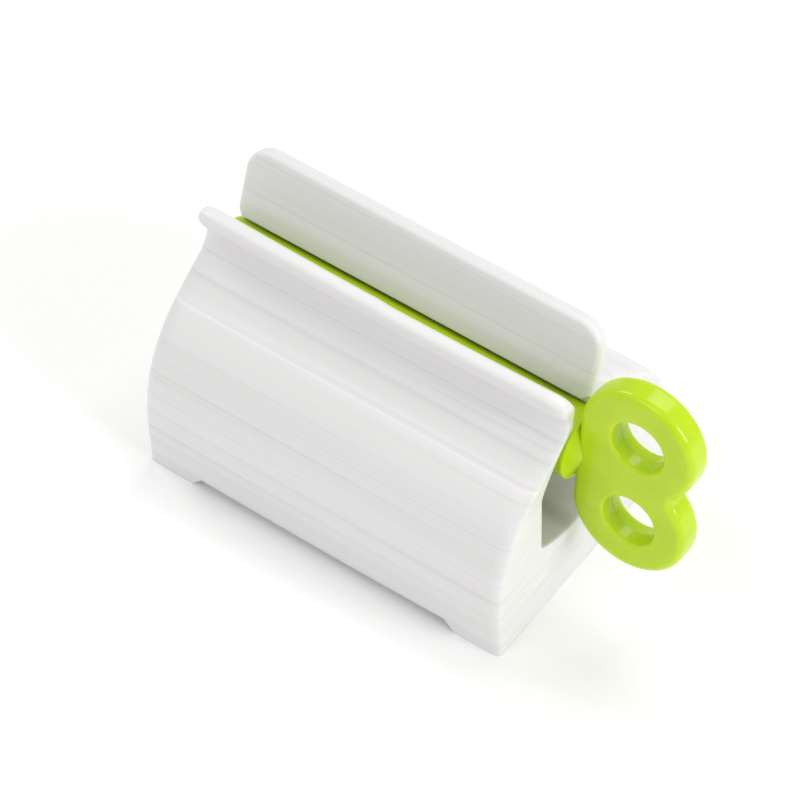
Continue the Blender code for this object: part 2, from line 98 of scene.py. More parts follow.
# %% Sizes of the stand
BODY_LENGTH = 0.0900
BODY_DEPTH = 0.0632
WALL = 0.0024
BELLY_HEIGHT = 0.0150
FOOT_TUCK = 0.0008
FRONT = -BODY_DEPTH / 2
REAR = BODY_DEPTH / 2

# %% Sizes round the shaft
SHAFT_SETBACK = 0.0284
SHAFT_HEIGHT = 0.04255
SHAFT_RADIUS = 0.0078
RUNNING_GAP = 0.0003
LIP_RISE = 0.01805
REAR_SPAN = BODY_DEPTH - SHAFT_SETBACK
SHAFT_Y = FRONT + SHAFT_SETBACK
SEAT_RADIUS = SHAFT_RADIUS + RUNNING_GAP
LIP_TOP = SHAFT_HEIGHT + LIP_RISE
AXIS = np.array((SHAFT_Y, SHAFT_HEIGHT))
print("shaft axis, in mm:", (AXIS * 1000).round(2))

# %% [markdown]
# ## The front wall and the lip
#
# The front wall rises from a foot that is tucked in a little, bellies out, and leans back
# over the wound-up tube until it comes to a crease, where it turns up into a narrow neck.
# Above the neck it flares into a lip with a round nose. One Bezier curve for each of these
# moves keeps the joins smooth, because neighbours share the direction of their handles. The
# handles are shares of the heights that they span, so the curves keep their character when
# a size changes. Only the crease is a real bend.

# %% Places along the front
MOUTH_FRONT = 0.0025
NECK_THICKNESS = 0.0028
CREASE_FORWARD = 0.388 * LIP_RISE
CREASE_HEIGHT = SHAFT_HEIGHT + 0.344 * LIP_RISE
NECK_HEIGHT = SHAFT_HEIGHT + 0.560 * LIP_RISE
MOUTH_HEIGHT = SHAFT_HEIGHT + 0.650 * LIP_RISE
FRONT_SHOULDER_BACK = 0.3664 * SHAFT_SETBACK
FRONT_SHOULDER_HEIGHT = 0.970 * SHAFT_HEIGHT
crease = np.array((SHAFT_Y - CREASE_FORWARD, CREASE_HEIGHT))
neck = np.array((SHAFT_Y - MOUTH_FRONT - NECK_THICKNESS, NECK_HEIGHT))
mouth = np.array((SHAFT_Y - MOUTH_FRONT, MOUTH_HEIGHT))
print("crease, neck and mouth, in mm:", (np.array((crease, neck, mouth)) * 1000).round(1).tolist())

# %% Slopes and handles of the front wall
SLOPE_AT_SHOULDER = heading(39.7)
SLOPE_BELOW_CREASE = heading(37.0)
SLOPE_ABOVE_CREASE = heading(62.0)
FOOT_HANDLE_SHARE = 0.35
BELLY_HANDLE_SHARE = 0.45
BELLY_HANDLE_UP = 0.352 * SHAFT_HEIGHT
SHOULDER_HANDLE_DOWN = 0.164 * SHAFT_HEIGHT
SHOULDER_HANDLE_UP = 0.26 * LIP_RISE
CREASE_HANDLE_DOWN = 0.16 * LIP_RISE
CREASE_HANDLE_UP = 0.10 * LIP_RISE
NECK_HANDLE_DOWN = 0.12 * LIP_RISE


def front_wall():
    """Foot, belly, shoulder, crease and neck, with one Bezier curve from each to the next."""
    foot = np.array((FRONT + FOOT_TUCK, 0.0))
    belly = np.array((FRONT, BELLY_HEIGHT))
    shoulder = np.array((FRONT + FRONT_SHOULDER_BACK, FRONT_SHOULDER_HEIGHT))
    return np.concatenate((
        bezier(foot, foot + up(FOOT_HANDLE_SHARE * BELLY_HEIGHT),
               belly - up(BELLY_HANDLE_SHARE * BELLY_HEIGHT), belly, steps=12),
        bezier(belly, belly + up(BELLY_HANDLE_UP),
               shoulder - SHOULDER_HANDLE_DOWN * SLOPE_AT_SHOULDER, shoulder, steps=32),
        bezier(shoulder, shoulder + SHOULDER_HANDLE_UP * SLOPE_AT_SHOULDER,
               crease - CREASE_HANDLE_DOWN * SLOPE_BELOW_CREASE, crease, steps=60),
        bezier(crease, crease + CREASE_HANDLE_UP * SLOPE_ABOVE_CREASE,
               neck - up(NECK_HANDLE_DOWN), neck, steps=14)))


# %% The lip
LIP_OVERHANG = 0.0021
LIP_FLAT = 0.0008
LIP_NOSE_RADIUS = 0.0015
LIP_UNDERSIDE_HEIGHT = SHAFT_HEIGHT + 0.844 * LIP_RISE
LIP_FLARE_HANDLE = 0.122 * LIP_RISE
LIP_TOP_HANDLE = 0.089 * LIP_RISE
MOUTH_HANDLE_UP = 0.167 * LIP_RISE


def lip():
    """Neck to the underside of the lip, a quarter circle for the nose, and down the back."""
    under = np.array((neck[0] - LIP_OVERHANG, LIP_UNDERSIDE_HEIGHT))
    nose = np.array((under[0] + LIP_NOSE_RADIUS, LIP_TOP - LIP_NOSE_RADIUS))
    top = np.array((nose[0] + LIP_FLAT, LIP_TOP))
    return np.concatenate((
        bezier(neck, neck + up(LIP_FLARE_HANDLE), under - up(LIP_FLARE_HANDLE), under, steps=12),
        [under],
        arc(nose, LIP_NOSE_RADIUS, 180, 90, steps=12),
        [nose + up(LIP_NOSE_RADIUS)],
        bezier(top, top + (LIP_TOP_HANDLE, 0.0), mouth + up(MOUTH_HANDLE_UP), mouth, steps=24)))


print("front:", len(front_wall()), "points, lip:", len(lip()), "points")

# %% [markdown]
# ## The seat, the room and the rear
#
# Under the mouth the plastic wraps a little round the shaft: this seat holds the shaft down
# while the tube pulls it up. Below the seat the walls open into the room where the tube is
# wound, with a floor that is an arc round the same axis. The rear wall is a plainer belly,
# and its curve starts inside the tall plate, so the two can be joined into one moulding.

# %% Outline of the room
ROOM_TOP_WIDTH = 0.0269
ROOM_FLOOR_WIDTH = 0.0259
ROOM_FLOOR_RADIUS = 0.0247
ROOM_TOP_DROP = 0.0052
ROOM_CORNER_RADIUS = 0.0018
SEAT_FRONT_DEGREES = (113.0, 134.0)
SEAT_REAR_DEGREES = (44.0, 54.0)
MOUTH_HANDLE_DOWN = 0.100 * LIP_RISE
SEAT_TOP_HANDLE = 0.056 * LIP_RISE
SEAT_END_HANDLE = 0.190 * LIP_RISE
ROOM_WALL_HANDLE = 0.150 * LIP_RISE


def half_room(seat_end):
    """Seat to wall by one Bezier curve, then straight down and round a small corner."""
    seat = AXIS + SEAT_RADIUS * heading(seat_end)
    wall_top = AXIS - np.array((ROOM_TOP_WIDTH / 2, ROOM_TOP_DROP))
    corner_angle = 180 + math.degrees(math.acos(ROOM_FLOOR_WIDTH / 2 / ROOM_FLOOR_RADIUS))
    corner = AXIS + ROOM_FLOOR_RADIUS * heading(corner_angle)
    floor_angle = corner_angle + math.degrees(ROOM_CORNER_RADIUS / ROOM_FLOOR_RADIUS)
    floor = AXIS + ROOM_FLOOR_RADIUS * heading(floor_angle)
    wall_end = corner + up(ROOM_CORNER_RADIUS)
    return floor_angle, np.concatenate((
        bezier(seat, seat + SEAT_END_HANDLE * heading(seat_end + 90),
               wall_top + up(ROOM_WALL_HANDLE), wall_top, steps=24),
        bezier(wall_top, wall_top, wall_end, wall_end, steps=6),
        bezier(wall_end, corner, corner, floor, steps=10),
        [floor]))


def room():
    """Front seat, front wall of the room, floor arc, and the same mirrored at the rear."""
    start, end = SEAT_FRONT_DEGREES
    rear_start, rear_end = SEAT_REAR_DEGREES
    seat_top = AXIS + SEAT_RADIUS * heading(start)
    floor_start, half = half_room(end)
    floor_end = 360 + 180 - floor_start
    mirrored = half[::-1] * (-1, 1) + (2 * SHAFT_Y, 0)
    return np.concatenate((
        bezier(mouth, mouth - up(MOUTH_HANDLE_DOWN),
               seat_top - SEAT_TOP_HANDLE * heading(start + 90), seat_top, steps=10),
        arc(AXIS, SEAT_RADIUS, start, end, steps=10),
        half[:-1],
        arc(AXIS, ROOM_FLOOR_RADIUS, floor_start, floor_end, steps=48),
        mirrored[:-1],
        arc(AXIS, SEAT_RADIUS, rear_start, rear_end, steps=8),
        [AXIS + SEAT_RADIUS * heading(rear_end)]))


print("room:", len(room()), "points")

# %% Where the tall plate stands
MOUTH_REAR = 0.0036
PLATE_LIFT = 0.0001
PLATE_HEIGHT = 0.0175
PLATE_THICKNESS = 0.0036
PLATE_LEAN = math.atan(0.33)
plate_foot = np.array((SHAFT_Y + MOUTH_REAR, SHAFT_HEIGHT + SEAT_RADIUS + PLATE_LIFT))
plate_along = np.array((math.sin(PLATE_LEAN), math.cos(PLATE_LEAN)))
plate_through = np.array((math.cos(PLATE_LEAN), -math.sin(PLATE_LEAN)))


def in_plate(through, along):
    """The plate's foot, plus a length through the plate and a length up along it."""
    return plate_foot + plate_through * through + plate_along * along


print("top of the plate, in mm:", (in_plate(PLATE_THICKNESS, PLATE_HEIGHT) * 1000).round(1))

# %% Outline of the rear wall
PLATE_START_DEPTH = 0.30 * PLATE_THICKNESS
PLATE_START_HEIGHT = 0.06 * PLATE_HEIGHT
PLATE_ROOT_DEPTH = 0.75 * PLATE_THICKNESS
PLATE_ROOT_HEIGHT = 0.33 * PLATE_HEIGHT
POINTS_IN_PLATE = 2
REAR_SHOULDER_INSET = 0.388 * REAR_SPAN
REAR_SHOULDER_HEIGHT = 1.034 * SHAFT_HEIGHT
REAR_BELLY_HEIGHT = 0.329 * SHAFT_HEIGHT
SLOPE_AT_PLATE_ROOT = heading(-78.0)
SLOPE_AT_REAR_SHOULDER = heading(-34.8)
PLATE_ROOT_HANDLE = 0.094 * SHAFT_HEIGHT
REAR_SHOULDER_HANDLE_UP = 0.256 * REAR_SPAN
REAR_SHOULDER_HANDLE_DOWN = 0.140 * SHAFT_HEIGHT
REAR_BELLY_HANDLE_UP = 0.399 * SHAFT_HEIGHT


def rear_wall():
    """From two points inside the plate to a shoulder, to the rear belly and to the rear foot."""
    root = in_plate(PLATE_ROOT_DEPTH, PLATE_ROOT_HEIGHT)
    shoulder = np.array((REAR - REAR_SHOULDER_INSET, REAR_SHOULDER_HEIGHT))
    belly = np.array((REAR, REAR_BELLY_HEIGHT))
    foot = np.array((REAR - FOOT_TUCK, 0.0))
    return np.concatenate((
        [in_plate(PLATE_START_DEPTH, PLATE_START_HEIGHT),
         in_plate(PLATE_START_DEPTH, PLATE_ROOT_HEIGHT)],
        bezier(root, root + PLATE_ROOT_HANDLE * SLOPE_AT_PLATE_ROOT,
               shoulder - REAR_SHOULDER_HANDLE_UP * SLOPE_AT_REAR_SHOULDER, shoulder, steps=28),
        bezier(shoulder, shoulder + REAR_SHOULDER_HANDLE_DOWN * SLOPE_AT_REAR_SHOULDER,
               belly + up(REAR_BELLY_HANDLE_UP), belly, steps=32),
        bezier(belly, belly - up(BELLY_HANDLE_SHARE * REAR_BELLY_HEIGHT),
               foot + up(FOOT_HANDLE_SHARE * REAR_BELLY_HEIGHT), foot, steps=12),
        [foot]))


print("rear:", len(rear_wall()), "points")

# %% [markdown]
# ## Ridge and groove
#
# A fine ridge, where two inserts of the mould met, runs along the shoulder: it climbs slowly,
# falls off fast, and stands a tenth of a millimetre high. The crease under the lip is cut a
# little deeper than the wall beside it. Separate strips could be laid on for both, but moving
# the outline's own points keeps the wall one surface.

# %% Normals of an outline, and the ridge and the groove on it
RIDGE_TOP = SHAFT_HEIGHT - 0.0003
RIDGE_SIZE = 0.00010
RIDGE_RISE = 0.0020
GROOVE_BOTTOM = CREASE_HEIGHT - 0.0002
GROOVE_SIZE = 0.00009
GROOVE_RISE = 0.0007
FALL = 0.0003


def inward(points):
    """Unit normals to the right of each point's way, from the points before and after it."""
    step = np.concatenate((points[1:], points[-1:])) - np.concatenate((points[:1], points[:-1]))
    step /= np.linalg.norm(step, axis=1)[:, None]
    return np.stack((step[:, 1], -step[:, 0]), axis=1)


def raised(points, height, size, rise):
    """Points moved out by size times climb squared times fall.

    Climb grows evenly from nought to one over the rise below the height, and fall goes back
    from one to nought just above it.
    """
    level = points[:, 1] - height
    climb = np.clip(1 + level / rise, 0.0, 1.0)
    fall = np.clip(1 - level / FALL, 0.0, 1.0)
    return points - inward(points) * (size * climb**2 * fall)[:, None]


front = raised(front_wall(), RIDGE_TOP, RIDGE_SIZE, RIDGE_RISE)
front = raised(front, GROOVE_BOTTOM, -GROOVE_SIZE, GROOVE_RISE)
moved = np.linalg.norm(front - front_wall(), axis=1)
print("front points moved:", (moved > 0).sum(), "by up to, in mm:", (moved.max() * 1000).round(2))

# %% [markdown]
# ## Where the ends are
#
# A straight loft would end in a knife-sharp edge. A moulded part has rounded ends, and the
# lip flares a little past them. So each point of the outline knows how far it may reach along
# the length, and over how much of that reach it is drawn in towards the plastic. The rounding
# is an ellipse: its long half runs along the stand and its short half goes into the wall.

# %% Reach of each point along the stand
END_DRAFT = 0.0001
LIP_CORNER_RUN = 0.0040
LIP_CORNER_DROP = 0.0032
LIP_END_FLARE = 0.0012
FLARE_START_SHARE = 0.40
PLATE_END_INSET = 0.0014
INSET_START = 0.98 * SHAFT_HEIGHT
INSET_END = 1.10 * SHAFT_HEIGHT


def half_length(points):
    """Half the length, plus a flare that grows as height squared, less a round top corner."""
    y, z = points[..., 0], points[..., 1]
    lip_share = (z - SHAFT_HEIGHT) / LIP_RISE
    flare = np.maximum(lip_share - FLARE_START_SHARE, 0.0) / (1 - FLARE_START_SHARE)
    corner = np.clip(1 - (LIP_TOP - z) / LIP_CORNER_DROP, 0.0, 1.0)
    half = (BODY_LENGTH / 2 + END_DRAFT * z / LIP_TOP + LIP_END_FLARE * flare**2
            - LIP_CORNER_RUN * (1 - np.sqrt(1 - corner**2)))
    return half - np.where(y > SHAFT_Y, plate_inset(z, half), 0.0)


def plate_inset(z, half):
    """What takes a reach back under the plate's end, by a share 3r^2 - 2r^3 of the rise r."""
    rise = np.clip((z - INSET_START) / (INSET_END - INSET_START), 0.0, 1.0)
    return (PLATE_END_INSET + half - BODY_LENGTH / 2) * rise**2 * (3 - 2 * rise)


print("half of the length at the crease, in mm:", (half_length(crease) * 1000).round(2))

# %% Run and inset of the rounding, from place to place
FOOT_ROUND = (0.0026, 0.0008)
BELLY_ROUND = (0.0030, 0.0011)
SHOULDER_ROUND = (0.0034, 0.0015)
CREASE_ROUND = (0.0034, 0.0006)
NECK_ROUND = (0.0034, 0.0009)
MOUTH_ROUND = (0.0030, 0.0010)
ROOM_ROUND = (0.0008, 0.0003)
REAR_ROUND = (0.0026, 0.0008)
front_rounds = {0.0: FOOT_ROUND, 0.45 * SHAFT_HEIGHT: BELLY_ROUND,
                0.85 * SHAFT_HEIGHT: SHOULDER_ROUND, CREASE_HEIGHT: CREASE_ROUND,
                NECK_HEIGHT: NECK_ROUND}
lip_rounds = {NECK_HEIGHT: NECK_ROUND, LIP_TOP: MOUTH_ROUND}


def round_at(points, rounds):
    """Run and inset at each point's height, on straight lines between the heights given."""
    heights, rows = list(rounds), zip(*rounds.values())
    return np.stack([np.interp(points[:, 1], heights, row) for row in rows], axis=1)


def fading(points, first, last, count):
    """Run and inset that go evenly from the first pair to the last over a count of points."""
    share = np.minimum(np.arange(len(points)) / count, 1.0)[:, None]
    return first + (np.array(last) - first) * share


outline = np.concatenate((front, lip(), room(), rear_wall()))
rounding = np.concatenate((
    round_at(front, front_rounds), round_at(lip(), lip_rounds),
    fading(room(), MOUTH_ROUND, ROOM_ROUND, count=16),
    fading(rear_wall(), ROOM_ROUND, REAR_ROUND, count=24)))
print("outline:", len(outline), "points around")

# %% [markdown]
# ## From grids to meshes
#
# A surface here is a grid of points: rows go along one parameter and columns along the other.
# Four neighbours make a face. One helper lists the faces of a grid that closes on itself
# sideways, one fills flat loops with triangles, and one turns points and faces into an object.
# Faces that come from different helpers may look different ways, so a closed mesh has its
# normals worked out again, and the volume inside shows that the mesh is whole.

# %% Faces


def grid_faces(rows, columns, first=0):
    """Corner numbers of a grid's faces, where the last column joins the first again."""
    row, column = np.meshgrid(np.arange(rows - 1), np.arange(columns), indexing="ij")
    after = (column + 1) % columns
    corners = (row * columns + column, row * columns + after,
               (row + 1) * columns + after, (row + 1) * columns + column)
    return first + np.stack(corners, axis=-1).reshape(-1, 4)


def fill(loops):
    """Triangles between flat closed loops, with the corners counted through all the loops."""
    flat = [[Vector((a, b, 0.0)) for a, b in loop] for loop in loops]
    return np.array(tessellate_polygon(flat))


print("faces of a grid of 3 rows and 4 columns:", len(grid_faces(3, 4)))

# %% Mesh objects


def mesh_object(name, points, *faces):
    """An object at the origin whose mesh holds the points and the faces."""
    mesh = bpy.data.meshes.new(name)
    mesh.from_pydata(points.tolist(), [], [f for group in faces for f in group.tolist()])
    piece = bpy.data.objects.new(name, mesh)
    bpy.context.scene.collection.objects.link(piece)
    return piece


def closed_object(name, points, *faces):
    """A mesh object without gaps, with every face turned outwards."""
    piece = mesh_object(name, points, *faces)
    work = bmesh.new()
    work.from_mesh(piece.data)
    bmesh.ops.recalc_face_normals(work, faces=work.faces)
    work.to_mesh(piece.data)
    print(name, "volume in cm3:", round(work.calc_volume() * 1e6, 2))
    work.free()
    return piece


# %% [markdown]
# ## The stand as one loft
#
# The outline is carried along the length. Between the rounded ends the steps are even, and in
# each end they follow a quarter of a circle. The lip bows forward in the middle, and the two
# halves of the mould met in the middle of the stand with a small step, which shows on the
# lip and in the mouth as it does on many cheap mouldings.

# %% The lip's bow and the mould's step
LIP_BOW = 0.0008
MOULD_STEP = 0.00022
MOULD_RAMP = 0.0004


def bowed(x, ring):
    """Places in space: the lip's bow falls as x squared, and the mould's step is a short ramp."""
    y, z = ring[..., 0], ring[..., 1]
    height = np.clip((z - SHAFT_HEIGHT) / LIP_RISE, 0.0, 1.0)
    bow = LIP_BOW * height**2 * (1 - (x / half_length(ring))**2)
    step = MOULD_STEP * height * np.clip(x / MOULD_RAMP + 0.5, 0.0, 1.0)
    return np.stack((x, y - np.where(y < SHAFT_Y, bow + step, 0.0), z), axis=-1)


print("middle of the crease, in mm:", (bowed(0.0, crease) * 1000).round(2))

# %% Carry the outline along the stand
END_ROWS = 9
MIDDLE_ROWS = 59


def lofted_stand():
    """Reach times a share along the middle, plus run times a sine in the rounded ends."""
    quarter = np.radians(np.linspace(0, 90, END_ROWS))
    middle = np.linspace(-1, 1, MIDDLE_ROWS + 2)[1:-1]
    share = np.concatenate((-np.ones(END_ROWS), middle, np.ones(END_ROWS)))[:, None]
    angle = np.concatenate((quarter[::-1], np.zeros(MIDDLE_ROWS), quarter))[:, None]
    run, inset = rounding.T
    ring = outline + inward(outline) * (inset * (1 - np.cos(angle)))[..., None]
    x = share * (half_length(ring) - run) + np.sign(share) * run * np.sin(angle)
    return bowed(x, ring), ring[0]


stand_grid, end_loop = lofted_stand()
print("stand: rows and columns", stand_grid.shape[:2])

# %% [markdown]
# ## End faces
#
# One large polygon would close each end, but a face with so many corners is cut into long
# slivers, and the light breaks on them. Points on an even lattice inside the loop give
# triangles of nearly one size instead, as round as the points allow.

# %% Close both ends
CAP_STEP = 0.0006
CAP_CLEARANCE = 0.6 * CAP_STEP
CAP_TOLERANCE = 1e-9
INSIDE_THE_LOOP = 1


def end_cap(loop):
    """Inner points on an even lattice, and Delaunay triangles between them and the loop."""
    low, high = loop.min(axis=0), loop.max(axis=0)
    lattice = np.stack(np.meshgrid(np.arange(low[0], high[0], CAP_STEP),
                                   np.arange(low[1], high[1], CAP_STEP)), axis=-1).reshape(-1, 2)
    apart = np.linalg.norm(lattice[:, None] - loop[None], axis=2).min(axis=1)
    places = np.concatenate((loop, lattice[apart > CAP_CLEARANCE]))
    _, _, triangles, origins, _, _ = delaunay_2d_cdt(
        [Vector(place) for place in places.tolist()], [], [list(range(len(loop)))],
        INSIDE_THE_LOOP, CAP_TOLERANCE)
    faces = np.array([origin[0] for origin in origins])[np.array(triangles)]
    used = np.unique(faces[faces >= len(loop)])
    number = np.arange(len(places))
    number[used] = len(loop) + np.arange(len(used))
    return places[used], number[faces]


def cap_faces(triangles, loop_start, inner_start):
    """The cap's triangles, with its loop and its inner points numbered from two starts."""
    loop = loop_start + np.arange(len(outline))
    inner = inner_start + np.arange(len(cap_places))
    return np.concatenate((loop, inner))[triangles]


cap_places, cap = end_cap(end_loop)
rows, around = stand_grid.shape[:2]
last_row, after_grid = (rows - 1) * around, rows * around
stand = closed_object(
    "moulded_stand",
    np.concatenate((stand_grid.reshape(-1, 3),
                    bowed(-half_length(cap_places), cap_places),
                    bowed(half_length(cap_places), cap_places))),
    grid_faces(rows, around), cap_faces(cap, 0, after_grid),
    cap_faces(cap, last_row, after_grid + len(cap_places)))
print("stand loft:", len(stand.data.polygons), "faces")

# %% [markdown]
# ## Slabs with rounded rims
#
# The tall plate and the wing of the key are both flat slabs with rounded rims. A slab is its
# outline, drawn in and out again along its own normals while it goes through the thickness.
# A box with a Bevel modifier would do for the plate, but not for the wing with its two
# finger holes, so one function makes both, and the holes use the same idea turned round.
# The walls of a hole narrow a little towards the middle, so that both halves of the mould
# came out, and a fine seam stands where the halves met.

# %% Rims of slabs and walls of holes
RIM_ROWS = 9
HOLE_COLUMNS = 96
HOLE_DRAFT = 0.00022
HOLE_DRAFT_END = 0.00050
SEAM_HEIGHT = 0.00036
SEAM_HALF_WIDTH = 0.00014
seam_inset = (-HOLE_DRAFT, -HOLE_DRAFT, -SEAM_HEIGHT, -HOLE_DRAFT, -HOLE_DRAFT)
seam_depth = (-HOLE_DRAFT_END, -SEAM_HALF_WIDTH, 0.0, SEAM_HALF_WIDTH, HOLE_DRAFT_END)


def rim_rows(thickness, radius):
    """How far in, and how deep, each row of a rounded rim is: a quarter circle at each face."""
    angle = np.radians(np.linspace(90, 0, RIM_ROWS))
    inset = radius * (1 - np.cos(angle))
    depth = radius * (1 - np.sin(angle)) - thickness / 2
    return np.concatenate((inset, inset[::-1])), np.concatenate((depth, -depth[::-1]))


def rings(centre, radii, count):
    """For each radius, the centre plus the radius times (cosine, sine) of even turns."""
    turn = np.radians(np.arange(count) * 360 / count)
    return centre + np.stack((np.cos(turn), np.sin(turn)), axis=1) * radii[:, None, None]


def inset_outlines(edge, inset):
    """The closed outline once for each inset, moved by it along the normals to its left.

    The left is the inside of an outline that runs anticlockwise.
    """
    step = np.roll(edge, -1, axis=0) - np.roll(edge, 1, axis=0)
    step /= np.linalg.norm(step, axis=1)[:, None]
    return edge + np.stack((-step[:, 1], step[:, 0]), axis=1) * inset[..., None]


print("rows of a rim 1 mm round:", (rim_rows(0.004, 0.001)[0] * 1000).round(2).tolist())

# %% Slabs


def slab(edge, thickness, radius, rim_share=1.0, holes=(), hole_rim=0.0):
    """Points (across, up, depth) and faces: the rim, the walls of the holes, two flat faces."""
    inset, depth = rim_rows(thickness, radius)
    grids = [with_depth(inset_outlines(edge, inset[:, None] * rim_share), depth)]
    inset, depth = rim_rows(thickness, hole_rim)
    inset = np.insert(inset, RIM_ROWS, seam_inset)
    depth = np.insert(depth, RIM_ROWS, seam_depth)
    for centre, hole_radius in holes:
        grids.append(with_depth(rings(centre, hole_radius + inset, HOLE_COLUMNS), depth))
    faces, near, far, first = [], [], [], 0
    for grid in grids:
        rows, columns = grid.shape[:2]
        faces.append(grid_faces(rows, columns, first))
        near.append(first + np.arange(columns))
        far.append(near[-1] + (rows - 1) * columns)
        first += rows * columns
    flat = fill([grid[0, :, :2] for grid in grids])
    faces += [np.concatenate(near)[flat], np.concatenate(far)[flat]]
    return np.concatenate([grid.reshape(-1, 3) for grid in grids]), faces


def with_depth(lines, depth):
    """A grid of points whose rows are flat lines, each at its own depth."""
    return np.dstack((lines, np.broadcast_to(depth[:, None], lines.shape[:2])))


# %% [markdown]
# ## The tall plate
#
# The back of the stand ends in a tall plate that the tube leans on. Its rim is round all the
# way up, but its foot meets the mouth with a crisp edge, so the share of the rim that each
# point gets falls towards the foot.

# %% The tall plate
PLATE_LENGTH = 0.0878
PLATE_TOP_RADIUS = 0.0060
PLATE_FOOT_RADIUS = 0.0025
PLATE_EDGE_RADIUS = 0.0012
PLATE_FOOT_SHARE = 0.12


def plate_edge():
    """A rectangle with large upper and small lower corners, anticlockwise."""
    half = PLATE_LENGTH / 2
    foot, top = PLATE_FOOT_RADIUS, PLATE_TOP_RADIUS
    corners = (((-half + foot, foot), foot, 180), ((half - foot, foot), foot, 270),
               ((half - top, PLATE_HEIGHT - top), top, 0),
               ((-half + top, PLATE_HEIGHT - top), top, 90))
    runs = []
    for centre, radius, start in corners:
        runs.append(arc(np.array(centre), radius, start, start + 90, steps=16))
        runs.append([np.array(centre) + radius * heading(start + 90)])
    return np.concatenate(runs)


edge = plate_edge()
risen = np.clip(edge[:, 1] / PLATE_FOOT_RADIUS, 0.0, 1.0)
rim_share = PLATE_FOOT_SHARE + (1 - PLATE_FOOT_SHARE) * risen
points, faces = slab(edge, PLATE_THICKNESS, PLATE_EDGE_RADIUS, rim_share)
yz = in_plate(PLATE_THICKNESS / 2 + points[:, 2:3], points[:, 1:2])
plate = closed_object("plate_tool", np.column_stack((points[:, 0], yz)), *faces)

# %% [markdown]
# ## Joining and hollowing
#
# On the real stand the plate and the body are one shot of plastic, and the underside is
# hollow, one wall thick, with a low recess between the feet. The exact Boolean solver joins
# and cuts closed meshes cleanly, so the plate is joined first and the hollows are cut next.
# Each result is made final at once, which leaves one closed mesh and no live modifier.

# %% A Boolean step that is made final
WELD_DISTANCE = 0.000002


def boolean(piece, tool, operation):
    """Join the tool to the piece or cut it out, keep the result, and remove the tool."""
    step = piece.modifiers.new("Boolean", "BOOLEAN")
    step.operation = operation
    step.solver = "EXACT"
    step.object = tool
    keep_result(piece)
    weld(piece.data)
    bpy.data.objects.remove(tool)
    print(operation.lower(), "->", len(piece.data.polygons), "faces")


def keep_result(piece):
    """Put the mesh that the modifiers give in place of the piece's mesh."""
    bpy.context.view_layer.update()
    evaluated = piece.evaluated_get(bpy.context.evaluated_depsgraph_get())
    mesh = bpy.data.meshes.new_from_object(evaluated)
    piece.modifiers.clear()
    mesh.name = piece.name
    piece.data = mesh


def weld(mesh):
    """Merge the points that a cut left within the weld distance of each other."""
    work = bmesh.new()
    work.from_mesh(mesh)
    bmesh.ops.remove_doubles(work, verts=work.verts, dist=WELD_DISTANCE)
    work.to_mesh(mesh)
    work.free()


boolean(stand, plate, "UNION")

# %% Outline of the hollow underside
POCKET_WIDTH = 0.0015
OVERRUN = 0.0010


def drawn_in(points):
    """An open outline moved into the plastic by one wall."""
    return points + inward(points) * WALL


def pocket_edge():
    """Front, room and rear drawn in by one wall, kept where the pocket is wide enough."""
    front = drawn_in(front_wall())
    roof = drawn_in(room())
    rear = drawn_in(rear_wall())[POINTS_IN_PLATE + 1:][::-1]
    front_at = np.interp(roof[:, 1], front[:, 1], front[:, 0])
    rear_at = np.interp(roof[:, 1], rear[:, 1], rear[:, 0])
    width = np.minimum(roof[:, 0] - front_at, rear_at - roof[:, 0])
    roof = roof[(width > POCKET_WIDTH) & (roof[:, 1] < SHAFT_HEIGHT)]
    up_front = below(front, roof[0, 1])
    down_rear = below(rear, roof[-1, 1])[::-1]
    return np.concatenate((up_front, roof, down_rear))


def below(wall, top):
    """A rising wall from just under the table to a height, with a point at that height."""
    kept = wall[(wall[:, 1] > 0.0) & (wall[:, 1] < top)]
    foot, end = np.interp((0.0, top), wall[:, 1], wall[:, 0])
    return np.concatenate(([(foot, -OVERRUN)], kept, [(end, top)]))


print("pocket outline:", len(pocket_edge()), "points")

# %% Hollow the underside


def prism(name, edge, length, places):
    """A closed outline repeated at both ends of a length, laid out by the places function."""
    count = len(edge)
    ends = np.repeat((-length / 2, length / 2), count)
    points = places(np.tile(edge, (2, 1)), ends)
    low = fill([edge])
    return closed_object(name, points, grid_faces(2, count), low, low + count)


pocket = prism("pocket_tool", pocket_edge(), BODY_LENGTH - 2 * WALL,
               lambda edge, x: np.column_stack((x, edge)))
boolean(stand, pocket, "DIFFERENCE")

# %% The recess between the feet
RECESS_BOTTOM_LENGTH = 0.0676
RECESS_TOP_LENGTH = 0.0624
RECESS_HEIGHT = 0.0029
RECESS_SAG = 0.0004
slope = (RECESS_BOTTOM_LENGTH - RECESS_TOP_LENGTH) / 2 / RECESS_HEIGHT
low_end = RECESS_BOTTOM_LENGTH / 2 + slope * OVERRUN
share = np.linspace(1, -1, 25)
ceiling = np.stack((share * RECESS_TOP_LENGTH / 2, RECESS_HEIGHT - RECESS_SAG * (1 - share**2)), 1)
recess_edge = np.concatenate((((-low_end, -OVERRUN), (low_end, -OVERRUN)), ceiling))
recess = prism("recess_tool", recess_edge, BODY_DEPTH + 2 * OVERRUN,
               lambda edge, y: np.column_stack((edge[:, 0], y, edge[:, 1])))
boolean(stand, recess, "DIFFERENCE")

# %% [markdown]
# ## The winding key
#
# The key is one moulding too: a round shaft with a long slot, and a wing of two overlapping
# lobes with a finger hole in each. The lobes are arcs, and a small arc of the opposite turn
# fills the notch between them. The wing stands just clear of the stand's end, so its place
# comes from how far the stand reaches at that height.

